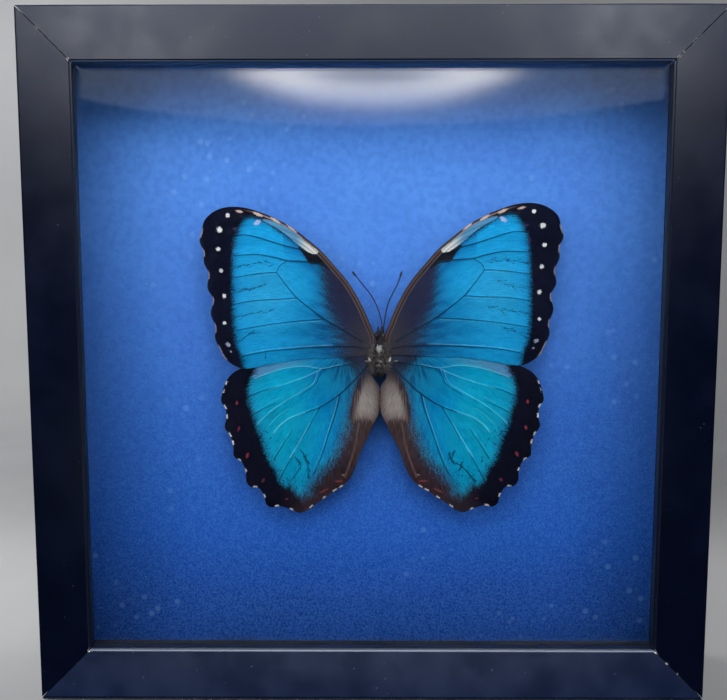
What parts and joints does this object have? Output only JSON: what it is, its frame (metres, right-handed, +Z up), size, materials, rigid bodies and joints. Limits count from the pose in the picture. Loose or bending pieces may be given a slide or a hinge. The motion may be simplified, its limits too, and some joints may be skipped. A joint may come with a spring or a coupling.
{
  "type": "framed butterfly specimen",
  "caption": "Blue butterfly specimen with spread wings on a blue backing, behind clear glazing in a square black shadow-box frame.",
  "frame": {"origin": "centre of the frame's underside", "axes": "+Z up, +X to the right seen from the front, the glazed front faces -Y"},
  "size_m": [0.229, 0.038, 0.231],
  "materials": {
    "frame_foil": "satin black foil over fibreboard, faint grain, pale chips at the mitres",
    "glazing": "clear glossy sheet",
    "spacer_card": "matte black card",
    "blue_paper": "matte royal-blue paper, softly mottled",
    "back_board": "brown hardboard",
    "foam_pad": "matte black foam",
    "wing": "iridescent blue scales with black-brown margins",
    "body_fur": "short olive-brown hair",
    "antenna_horn": "thin dark horn",
    "steel": "plated steel"
  },
  "bodies": {
    "root": {"rail_top": "frame_foil", "rail_bottom": "frame_foil", "rail_left": "frame_foil", "rail_right": "frame_foil", "glazing": "glazing", "spacer_top": "spacer_card", "spacer_bottom": "spacer_card", "spacer_left": "spacer_card", "spacer_right": "spacer_card", "backing_paper": "blue_paper", "backing_board": "back_board", "mounting_pad": "foam_pad", "forewing_left": "wing", "forewing_right": "wing", "hindwing_left": "wing", "hindwing_right": "wing", "thorax": "body_fur", "head": "body_fur", "antenna_left": "antenna_horn", "antenna_right": "antenna_horn", "tab_bottom_1": "steel", "tab_bottom_2": "steel", "tab_top_1": "steel", "tab_top_2": "steel", "tab_left_1": "steel", "tab_left_2": "steel", "tab_right_1": "steel", "tab_right_2": "steel", "hanger": "steel", "hanger_screw_left": "steel", "hanger_screw_right": "steel"}
  },
  "joints": []
}
